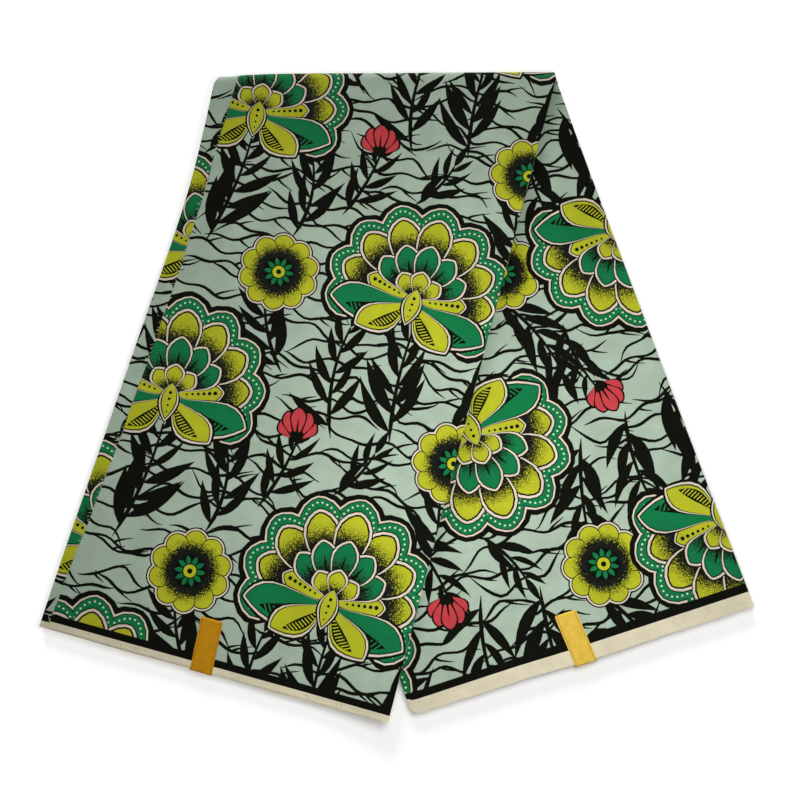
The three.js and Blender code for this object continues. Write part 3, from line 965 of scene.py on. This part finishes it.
def outline_of(sheet, left_column, left_more, right_more, top_share, wander=0.0):
    """The cut outline of a sheet, once round, up to a share of the roll at the fold."""
    def top_at(across):
        return sheet.fold_at(across) + sheet.roll * top_share

    steps = 64
    right_top = float(top_at(np.array([PACK_WIDTH]))[0])
    left_top = float(top_at(np.array([0.0]))[0])
    right = edge_line(sheet, RIGHT, np.linspace(0, right_top, steps), right_more)
    left = edge_line(sheet, left_column, np.linspace(0, left_top, steps), left_more)
    if wander:
        left[:, 0] += wander * (np.sin(left[:, 1] / 13) + 0.6 * np.sin(left[:, 1] / 5.1 + 1))
    right[-1, 1] = top_at(right[-1:, 0])[0]
    left[-1, 1] = top_at(left[-1:, 0])[0]
    start, corner = left[0, 0], left[0, 0] + 15.0
    foot_x = np.concatenate([np.linspace(start, corner, 15)[:-1], np.linspace(corner, right[0, 0], 56)])
    foot = np.stack([foot_x, 0.25 * np.sin(foot_x / 17) + 0.15 * np.sin(foot_x / 5.3)], 1)
    head_x = np.linspace(right[-1, 0], left[-1, 0], 60)
    head = np.stack([head_x, top_at(head_x)], 1)
    return np.concatenate([foot[:-1], right[:-1], head[:-1], left[:0:-1]])


def creases_of(sheet, outline, top_share, sides, steps=7):
    """The lines that a sheet bends along: round the fold, and round its folded sides."""
    low, high = outline[:, 0].min(), outline[:, 0].max()
    lines = []
    xs = np.linspace(low + 0.02, high - 0.02, 60)
    for k in range(steps + 1):
        fars = sheet.fold_at(xs) + sheet.roll * top_share * k / steps - 0.02
        line = np.stack([xs, fars], 1)
        keep = inside(line, outline)
        lines.append(line[keep])
    top = outline[:, 1].max()
    fars = np.linspace(0.3, top, 90)
    for column, way in sides:
        for k in range(7):
            line = edge_line(sheet, column, fars, way * EDGE_FOLD * (math.pi * k / 6 - 1))
            lines.append(line[inside(line, outline)])
    return [line for line in lines if len(line) > 1]


def shell_of(name, faces_grid, backs_grid, materials, material_of, layers_grid, flip):
    """A closed shell between two grids of points with the same rows and columns."""
    rows, columns = faces_grid.shape[:2]
    count = rows * columns
    index = np.arange(count).reshape(rows, columns)

    def quads(a, b, c, d):
        return np.stack([a, b, c, d], -1).reshape(-1, 4)

    face = quads(index[:-1, :-1], index[:-1, 1:], index[1:, 1:], index[1:, :-1])
    back = face[:, ::-1] + count
    rim = np.concatenate([index[0], index[1:, -1], index[-1, -2::-1], index[-2:0:-1, 0]])
    onward = np.roll(rim, -1)
    wall = np.stack([onward, rim, rim + count, onward + count], 1)
    faces = np.concatenate([face, back, wall])
    if flip:
        faces = faces[:, ::-1]
    points = np.concatenate([faces_grid.reshape(-1, 3), backs_grid.reshape(-1, 3)])
    cells = np.concatenate([material_of.ravel()] * 2 + [np.full(len(wall), material_of.max())])
    u, v = np.meshgrid(np.linspace(0.01, 0.48, columns), np.linspace(0.01, 0.99, rows))
    bake = np.stack([u, v], -1).reshape(-1, 2)
    bake = np.concatenate([bake, bake + [0.5, 0]])[faces.ravel()]
    layers = {"cloth": ("FLOAT_VECTOR", "POINT", np.concatenate([layers_grid.reshape(-1, 3)] * 2))}
    return make_piece(name, points, faces.tolist(), None, materials, cells, layers, bake)


LAMP = {"x": 0.11, "y": -0.09, "height": 0.45}
FLOOR_GLOW = {"far": 0.735, "under_lamp": 0.78}


def stage_material():
    """A white floor that stays white where the lamp's light falls off."""
    surface = Surface("floor", Roughness=0.8, Base_Color=paint(243, 243, 243), Emission_Strength=1.0)
    where = surface.node("ShaderNodeNewGeometry", {}, {})[0]
    parts = surface.node("ShaderNodeSeparateXYZ", {}, {0: where})
    aside, ahead = parts[0] - LAMP["x"], parts[1] - LAMP["y"]
    away = (aside * aside + ahead * ahead) / LAMP["height"] ** 2 + 1
    lit = (away * away).math("DIVIDE", 1.0, first=True)
    glow = (FLOOR_GLOW["far"] - lit * FLOOR_GLOW["under_lamp"]).clamped()
    surface.put(surface.shader.inputs["Emission Color"], surface.mixed(glow, (0, 0, 0, 1), (1, 1, 1, 1)))
    return surface.finished()


def backdrop_material():
    """A pale wall far round the floor, for the views from low down."""
    surface = Surface("backdrop", Roughness=0.9, Specular_IOR_Level=0.0, Base_Color=paint(40, 40, 40),
                      Emission_Color=(1, 1, 1, 1), Emission_Strength=0.9)
    return surface.finished()


def dress(piece, nodes):
    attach(piece, "root")
    if nodes:
        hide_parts(*nodes)
    return piece


def printed_panel(name, sheet, column, left_more, right_more, top_share, phase, wander, sides, spacing):
    outline = outline_of(sheet, column, left_more, right_more, top_share, wander)
    creases = creases_of(sheet, outline, top_share, sides)
    left, right = outline[:, 0].min(), outline[:, 0].max()
    shapes = print_on(sheet.leg, phase, left, right, outline[:, 1].max())
    wrapped = LEFT if left_more < 0 else None
    return cloth_piece(name, sheet, outline, creases, shapes, INK_FINISHES, REVERSE, spacing, left=wrapped)


# How far apart the inner points of the sheets lie, how much the raw edge wanders, where across the
# print the inner and the next panel start, and how much of the next panel's width is printed
SPACING = {"top": 9.0, "under": 11.0, "strip": 12.0}
RAW_WANDER = 0.28
PHASE = {"inner": 118.0, "next": 212.0}
STRIP_PRINTED = 44
BOTH_SIDES = [(LEFT, -1), (RIGHT, 1)]
RIGHT_SIDE = [(RIGHT, 1)]

# The outer panel: round the outside of the fold, in two pieces
top_panel = printed_panel("top_panel", Sheet("left", OUTER_RADIUS, 1), RAW, 0.0, WRAP, 2 / 3,
                          0.0, RAW_WANDER, RIGHT_SIDE, SPACING["top"])
under_panel = printed_panel("under_panel", Sheet("right", OUTER_RADIUS, 1, reach=-5.0), RAW, 0.0, WRAP, 1 / 3,
                            0.0, RAW_WANDER, RIGHT_SIDE, SPACING["under"])

# The inner panel: the top of the right leg, and the underside of the left leg
right_panel = printed_panel("right_panel", Sheet("right", INNER_RADIUS, -1), LEFT, -WRAP, WRAP, 1 / 2,
                            PHASE["inner"], 0.0, BOTH_SIDES, SPACING["top"])
left_under_panel = printed_panel("left_under_panel", Sheet("left", INNER_RADIUS, -1, reach=-3.0), LEFT, -WRAP,
                                 WRAP, 1 / 2, PHASE["inner"], 0.0, BOTH_SIDES, SPACING["under"])

# The next panel in, which shows as a strip beside the raw edge
next_sheet = Sheet("left", OUTER_RADIUS - PITCH, 1, reach=1.3)


def next_outline(sheet):
    def far_end(across):
        other = LENGTH["right"] - 3.0 - crossing("right", across)
        return sheet.fold_at(across) + sheet.roll + other

    ends = [float(far_end(np.array([x]))[0]) for x in (0.0, PACK_WIDTH)]
    left = edge_line(sheet, LEFT, np.linspace(0, ends[0], 110), -WRAP)
    right = edge_line(sheet, RIGHT, np.linspace(0, ends[1], 110), -5.5)
    left[-1, 1] = far_end(left[-1:, 0])[0]
    right[-1, 1] = far_end(right[-1:, 0])[0]
    foot_x = np.linspace(left[0, 0], right[0, 0], 60)
    foot = np.stack([foot_x, 0.3 * np.sin(foot_x / 23 + 1)], 1)
    head_x = np.linspace(right[-1, 0], left[-1, 0], 60)
    head = np.stack([head_x, far_end(head_x)], 1)
    return np.concatenate([foot[:-1], right[:-1], head[:-1], left[:0:-1]]), head[::-1]


outline, head = next_outline(next_sheet)
creases = creases_of(next_sheet, outline, 1.0, [(LEFT, -1)], steps=10)
shapes = print_on("left", PHASE["next"], outline[:, 0].min(), STRIP_PRINTED, outline[:, 1].max())
for near, to, ink in SELVEDGES["right"]:
    shapes.append((np.concatenate([head - [0, to], head[::-1] - [0, near]]), ink, None))
next_panel = cloth_piece("next_panel_strip", next_sheet, outline, creases, shapes, INK_FINISHES, REVERSE,
                         SPACING["strip"])


def zigzag():
    """The line of the hidden panels across the pack, to and fro, as rows of
    side (0 left, 1 right), inset from that side, sunk below the outer face, and panel number."""
    rows = []
    first, last = 2, PANELS - 2
    shares = np.concatenate([[0, 0.008, 0.02, 0.04], np.linspace(0.08, 1, 22)])
    for panel in range(first, last + 1):
        depth = panel * PITCH + CLOTH / 2
        rightward = (panel - first) % 2 == 0
        for share in shares if rightward else shares[::-1]:
            rows.append((share, depth, 0.0, 0.0, panel))
        if panel < last:
            way = 1.0 if rightward else -1.0
            for k in range(1, 6):
                angle = math.pi * k / 6
                bulge = PITCH / 2 * math.sin(angle)
                drop = PITCH / 2 * (1 - math.cos(angle))
                rows.append(((1 + way) / 2, depth + drop, way * bulge, way, panel + k / 6))
    return np.array(rows)


# How unevenly the hidden panels lie: in from the sides, and short of the ends
LOOSE = {"inset": 0.9, "inset_wave": 0.45, "short": 1.6, "end_wave": 1.5, "wander": 0.35}
# Rows of points up each leg and round the fold
ROWS = {"left": 30, "fold": 13, "right": 26}


def hidden_cloth():
    """The fourteen hidden panels as one strip of cloth, folded to and fro."""
    line = zigzag()
    share, depth, bulge, way, panel = line.T
    along = np.gradient(np.stack([share * 300 + bulge, depth], 1), axis=0)
    along /= np.linalg.norm(along, axis=1, keepdims=True)
    rows = [("left", v) for v in np.linspace(0, 1, ROWS["left"])]
    rows += [("fold", v) for v in np.linspace(0, 1, ROWS["fold"])[1:-1]]
    rows += [("right", v) for v in np.linspace(1, 0, ROWS["right"])]
    face, back, measure = [], [], []
    inset = LOOSE["inset"] + LOOSE["inset_wave"] * np.sin(panel * 2.1)
    end = {leg: LOOSE["end_wave"] * np.sin(panel * step + 0.5) - LOOSE["short"]
           for leg, step in (("left", 1.7), ("right", 2.3))}
    for leg, v in rows:
        grids = []
        for offset in (-CLOTH * 0.48, CLOTH * 0.48):
            sideways = bulge + offset * -along[:, 1]
            sunk = depth + offset * along[:, 0]
            radius = OUTER_RADIUS - sunk
            if leg == "fold":
                tops = [[follow(SIDES[end_of], column, np.zeros(1)) for end_of in ("left", "right")]
                        for column in (LEFT, RIGHT)]
                left_side, right_side = (before * (1 - v) + after * v for before, after in tops)
                left_side, right_side = left_side + inset, right_side - inset
                across = left_side + (right_side - left_side) * share + sideways
                points = fold_point(across, np.full(len(across), math.pi * v), radius)
                far = np.full(len(across), 560.0)
            else:
                across = share * PACK_WIDTH
                for _ in range(3):
                    down = (LENGTH[leg] + end[leg]) * (1 - v) + crossing(leg, across) * v
                    wander = LOOSE["wander"] * np.sin(down / 37 + panel * 2.9)
                    left_side = follow(SIDES[leg], LEFT, down) + inset + wander
                    right_side = follow(SIDES[leg], RIGHT, down) - inset + wander
                    across = left_side + (right_side - left_side) * share + sideways
                level = radius - INNER_RADIUS if leg == "left" else OUTER_RADIUS - radius
                points = stack_point(leg, down, across, level)
                far = LENGTH[leg] + end[leg] - down
            grids.append(points)
        face.append(grids[0])
        back.append(grids[1])
        on_right = np.full(len(far), float(leg == "right"))
        measure.append(np.stack([panel * 331.0 + share * PACK_WIDTH, far, on_right], 1))
    return np.array(face), np.array(back), np.array(measure)


def edge_finish():
    """The hidden panels where they show: selvedge at the ends, patches of the print at the sides."""
    surface = Surface("layered_cotton", Roughness=0.85, Specular_IOR_Level=0.22)
    where, across, along = on_cloth(surface)
    on_right = surface.node("ShaderNodeSeparateXYZ", {}, {0: where})[2]
    colour = paint(*DYES["ground"])
    flecks = surface.node("ShaderNodeCombineXYZ", {}, {0: across * 0.02, 1: along, 2: 0.0})[0]
    for seed, ink, edge in ((0.0, "lime", 0.56), (31.0, "green", 0.57), (77.0, "black", 0.53)):
        apart = {0: flecks, 1: (seed, seed, 0)}
        moved = surface.node("ShaderNodeVectorMath", {"operation": "ADD"}, apart)[0]
        patch = surface.noise(moved, 0.055, 2.0, 0.6)
        colour = surface.mixed(patch.above(edge, 0.02), colour, paint(*DYES[ink]))
    for band_of in (1, 0):
        left_to, right_to = (SELVEDGES[leg][band_of][1] for leg in ("left", "right"))
        border = left_to + (right_to - left_to) * on_right
        dye = INKS[SELVEDGES["left"][band_of][2]]
        colour = surface.mixed((border - along).above(0.0, 0.4), colour, paint(*DYES[dye]))
    return surface.finished(colour, weave(surface, across, along), 0.3)


faces_grid, backs_grid, measures = hidden_cloth()
kinds = np.zeros((faces_grid.shape[0] - 1, faces_grid.shape[1] - 1), int)
hidden_layers = shell_of("hidden_panels", faces_grid, backs_grid, [edge_finish()], kinds, measures, False)


# The thin line along each side of a seal, by its distance from the middle of the paper
GOLD_LINE = {"middle": 10.25, "out": 8.6, "half": 0.28}


def gold_paper(name, colour):
    """Gold printed paper, slightly rubbed and creased, with painted shade and highlight along its crinkles.
    """
    surface = Surface(name, Metallic=0.08, Roughness=0.6, Specular_IOR_Level=0.15)
    where, across, along = on_cloth(surface)
    crinkle_and_painted_shade = surface.noise(where, 0.16, 4.0, 0.62)
    rubbed = surface.noise(where, 0.5, 3.0, 0.7)
    red, green, blue = colour
    deep = paint(red * 0.93, green * 0.9, blue * 0.84)
    pale = paint(min(red * 1.05, 250), min(green * 1.06, 245), min(blue * 1.2, 200))
    # The gold is painted darker in the crinkles' hollows and paler on their ridges: painted shade and painted
    # highlight.
    gold_with_painted_crinkle_shade = surface.mixed(crinkle_and_painted_shade.above(0.5, 0.6), deep, pale)
    edge = (across - GOLD_LINE["middle"]).math("ABSOLUTE")
    line = ((edge - GOLD_LINE["out"]).math("ABSOLUTE") * -1 + GOLD_LINE["half"]).above(0.0, 0.2)
    gold_with_painted_crinkle_shade = surface.mixed(line * 0.55, gold_with_painted_crinkle_shade, paint(110, 66, 14))
    return surface.finished(gold_with_painted_crinkle_shade, crinkle_and_painted_shade * 3.0 + rubbed * 0.4, 0.5, rubbed * 0.2 + 0.55)


PAPER = {"bend": 1.2, "thick": 0.22, "corner": 0.9, "curl": 0.5, "sunk": 0.18}


def seal_piece(name, leg, colour):
    """A paper seal that lies up the leg, round its end and back beneath, its corners slightly rounded."""
    seal = SEALS[leg]
    top = STACK_HEIGHT + SEAL_GAP
    bend, paper, round_ = PAPER["bend"], PAPER["thick"], PAPER["corner"]
    end = -SEAL_PAST_END
    path = [(b, top, 1.0, 0.0, 1) for b in np.linspace(seal["reach"], end + bend, 26)]
    turn = [(math.sin(math.pi / 2 * k / 7), math.cos(math.pi / 2 * k / 7)) for k in range(8)]
    for sine, cosine in turn[1:]:
        path.append((end + bend * (1 - sine), top - bend * (1 - cosine), cosine, sine, 0))
    path += [(end, level, 0.0, 1.0, 0) for level in np.linspace(top - bend, -SEAL_GAP + bend, 8)[1:-1]]
    for sine, cosine in turn:
        path.append((end + bend * (1 - cosine), -SEAL_GAP + bend * (1 - sine), -sine, cosine, 0))
    path += [(b, -SEAL_GAP, -1.0, 0.0, -1) for b in np.linspace(end + bend, seal["reach"], 26)[1:]]
    path = np.array(path)
    walk = np.concatenate([[0], np.cumsum(np.hypot(np.diff(path[:, 0]), np.diff(path[:, 1])))])
    columns = np.concatenate([[0, 0.02, 0.06], np.linspace(0.12, 0.88, 9), [0.94, 0.98, 1]])
    face, back, measure = [], [], []
    for (reach, level, up, out, sided), far in zip(path, walk):
        from_tip = min(far, walk[-1] - far)
        corner = round_ - math.sqrt(max(round_**2 - max(round_ - from_tip, 0) ** 2, 0))
        half = seal["width"] / 2 - corner
        middle = seal["centre"] + sided * seal["lean"] * reach
        across = middle + (columns * 2 - 1) * half
        curl = 0
        if up > 0.9:
            curl = PAPER["curl"] * np.clip(1 - from_tip / 9, 0, 1) ** 2 * np.abs(columns * 2 - 1) ** 3
        for wall, grid in ((paper, face), (0.0, back)):
            shift = wall - PAPER["sunk"]
            down = LENGTH[leg] - reach + out * shift
            grid.append(stack_point(leg, np.full(len(across), down), across, level + up * shift + curl))
        blank = np.zeros(len(columns))
        measure.append(np.stack([columns * seal["width"], blank + far, blank], 1))
    face, back, measure = np.array(face), np.array(back), np.array(measure)
    cells = np.zeros((len(path) - 1, len(columns) - 1), int)
    return shell_of(name, face, back, [gold_paper(name + "_paper", colour)], cells, measure, flip=True)


seal_left = seal_piece("paper_seal_left", "left", (192, 136, 6))
seal_right = seal_piece("paper_seal_right", "right", (220, 184, 66))


def node_group(name, inputs):
    """A geometry node group with a geometry in and out, and its own named inputs."""
    group = bpy.data.node_groups.new(name, "GeometryNodeTree")
    group.interface.new_socket("Geometry", in_out="INPUT", socket_type="NodeSocketGeometry")
    for title, (kind, value) in inputs.items():
        socket = group.interface.new_socket(title, in_out="INPUT", socket_type=kind)
        socket.default_value = value
    group.interface.new_socket("Geometry", in_out="OUTPUT", socket_type="NodeSocketGeometry")

    def add(kind, settings, values):
        node = group.nodes.new(kind)
        for key, value in settings.items():
            setattr(node, key, value)
        for key, value in values.items():
            if isinstance(value, bpy.types.NodeSocket):
                group.links.new(value, node.inputs[key])
            else:
                node.inputs[key].default_value = value
        return node

    return group, add


YARN = {
    "count": 190, "half": 0.00015, "short": 0.0014, "long": 0.0046, "seed": 5,
    "least_turn": (0.0, 1.50, 1.9), "most_turn": (0.0, 1.62, 4.0),
}


def loose_yarns():
    """Short ends of pale yarn that stick out of the raw edge, set out along it."""
    sheet = Sheet("left", OUTER_RADIUS, 1)
    fars = np.linspace(3, 560, 280)
    edge = edge_line(sheet, RAW, fars, 0.5)
    line = sheet.place(edge[:, 0], fars, CLOTH * 0.5, left=None) * MM
    mesh = bpy.data.meshes.new("raw_edge_line")
    mesh.from_pydata(line.tolist(), [(k, k + 1) for k in range(len(line) - 1)], [])
    holder = bpy.data.objects.new("raw_edge_yarns", mesh)
    bpy.context.scene.collection.objects.link(holder)
    inputs = {"Count": ("NodeSocketInt", YARN["count"]), "Thickness": ("NodeSocketFloat", YARN["half"]),
              "Shortest": ("NodeSocketFloat", YARN["short"]), "Longest": ("NodeSocketFloat", YARN["long"]),
              "Seed": ("NodeSocketInt", YARN["seed"])}
    group, add = node_group("yarns_along_edge", inputs)
    given = group.nodes.new("NodeGroupInput").outputs
    curve = add("GeometryNodeMeshToCurve", {}, {"Mesh": given["Geometry"]})
    spots = add("GeometryNodeCurveToPoints", {"mode": "COUNT"},
                {"Curve": curve.outputs[0], "Count": given["Count"]})
    yarn = add("GeometryNodeMeshCylinder", {},
               {"Vertices": 5, "Side Segments": 2, "Radius": given["Thickness"], "Depth": 1.0})
    shifted = add("GeometryNodeTransform", {},
                  {"Geometry": yarn.outputs["Mesh"], "Translation": (0, 0, 0.5)})
    number = add("GeometryNodeInputIndex", {}, {}).outputs[0]
    length = add("FunctionNodeRandomValue", {"data_type": "FLOAT"},
                 {2: given["Shortest"], 3: given["Longest"], "ID": number, "Seed": given["Seed"]})
    size = add("ShaderNodeCombineXYZ", {}, {0: 1.0, 1: 1.0, 2: length.outputs[1]})
    aim = add("FunctionNodeRandomValue", {"data_type": "FLOAT_VECTOR"},
              {0: YARN["least_turn"], 1: YARN["most_turn"], "Seed": given["Seed"]})
    placed = add("GeometryNodeInstanceOnPoints", {},
                 {"Points": spots.outputs["Points"], "Instance": shifted.outputs[0],
                  "Rotation": aim.outputs[0], "Scale": size.outputs[0]})
    solid = add("GeometryNodeRealizeInstances", {}, {"Geometry": placed.outputs[0]})
    surface = Surface("pale_yarn", Roughness=0.85, Specular_IOR_Level=0.2, Base_Color=paint(206, 208, 184))
    dressed = add("GeometryNodeSetMaterial", {},
                  {"Geometry": solid.outputs[0], "Material": surface.finished()})
    end = group.nodes.new("NodeGroupOutput")
    group.links.new(dressed.outputs[0], end.inputs[0])
    holder.modifiers.new("yarns", "NODES").node_group = group
    depsgraph = bpy.context.evaluated_depsgraph_get()
    made = bpy.data.meshes.new_from_object(holder.evaluated_get(depsgraph))
    holder.modifiers.clear()
    holder.data = made
    return holder


yarns = loose_yarns()

dress(top_panel, [])
dress(under_panel, ["outer_panel"])
dress(right_panel, [])
dress(left_under_panel, ["inner_panel"])
dress(next_panel, ["next_panel"])
dress(hidden_layers, ["hidden_layers"])
dress(seal_left, ["seal_left"])
dress(seal_right, ["seal_right"])
dress(yarns, [])

STAGE = {"floor": 24.0, "below": -0.0003, "radius": 9.0, "height": 2.4, "middle": 1.1}
bpy.ops.mesh.primitive_plane_add(size=STAGE["floor"], location=(0, 0, STAGE["below"]))
floor = bpy.context.object
floor.name = "floor"
floor.data.materials.append(stage_material())
bpy.ops.mesh.primitive_cylinder_add(vertices=64, radius=STAGE["radius"], depth=STAGE["height"],
                                    end_fill_type="NOTHING", location=(0, 0, STAGE["middle"]))
backdrop = bpy.context.object
backdrop.name = "backdrop"
backdrop.data.materials.append(backdrop_material())


def area_light(name, place, aim, size, power):
    data = bpy.data.lights.new(name, "AREA")
    data.shape, data.size, data.energy = "DISK", size, power
    light = bpy.data.objects.new(name, data)
    light.location = place
    light.rotation_euler = (Vector(aim) - Vector(place)).to_track_quat("-Z", "Y").to_euler()
    light.visible_camera = False
    bpy.context.scene.collection.objects.link(light)


LIGHTS = [
    {"name": "soft_lamp", "place": (LAMP["x"], LAMP["y"], LAMP["height"]), "aim": (LAMP["x"], LAMP["y"], 0),
     "size": 0.4, "power": 2.1},
    {"name": "far_key", "place": (-0.9, 4.9, 1.9), "aim": (0, 0, 0), "size": 1.8, "power": 187},
]
for light in LIGHTS:
    area_light(**light)
world = bpy.data.worlds.new("studio")
world.use_nodes = True
world.node_tree.nodes["Background"].inputs["Color"].default_value = (1, 1, 1, 1)
world.node_tree.nodes["Background"].inputs["Strength"].default_value = 0.05
bpy.context.scene.world = world
bpy.context.scene.view_settings.view_transform = "Standard"


# The camera of the photograph, by its aim, its slope down, its turn and its roll
CAMERA = {
    "aim": (4.14, -13.33, 0.0), "away": 1182.0, "turn": -3.63, "slope": 77.82, "roll": 2.39,
    "focal": 1250.0, "sensor": 36.0,
}
PHOTO_SIDE = 794.0


def set_camera():
    turn, slope, roll = (math.radians(CAMERA[k]) for k in ("turn", "slope", "roll"))
    ahead = Vector((-math.sin(turn) * math.cos(slope), math.cos(turn) * math.cos(slope), -math.sin(slope)))
    right = ahead.cross(Vector((0, 0, 1))).normalized()
    up = right.cross(ahead)
    sine, cosine = math.sin(roll), math.cos(roll)
    right, up = cosine * right + sine * up, cosine * up - sine * right
    data = bpy.data.cameras.new("camera")
    data.sensor_width = CAMERA["sensor"]
    data.lens = CAMERA["focal"] / PHOTO_SIDE * CAMERA["sensor"]
    camera = bpy.data.objects.new("camera", data)
    turned_to = Matrix((right, up, -ahead)).transposed().to_4x4()
    place = (Vector(CAMERA["aim"]) - ahead * CAMERA["away"]) * MM
    camera.matrix_world = Matrix.Translation(place) @ turned_to
    bpy.context.scene.collection.objects.link(camera)
    bpy.context.scene.camera = camera


set_camera()
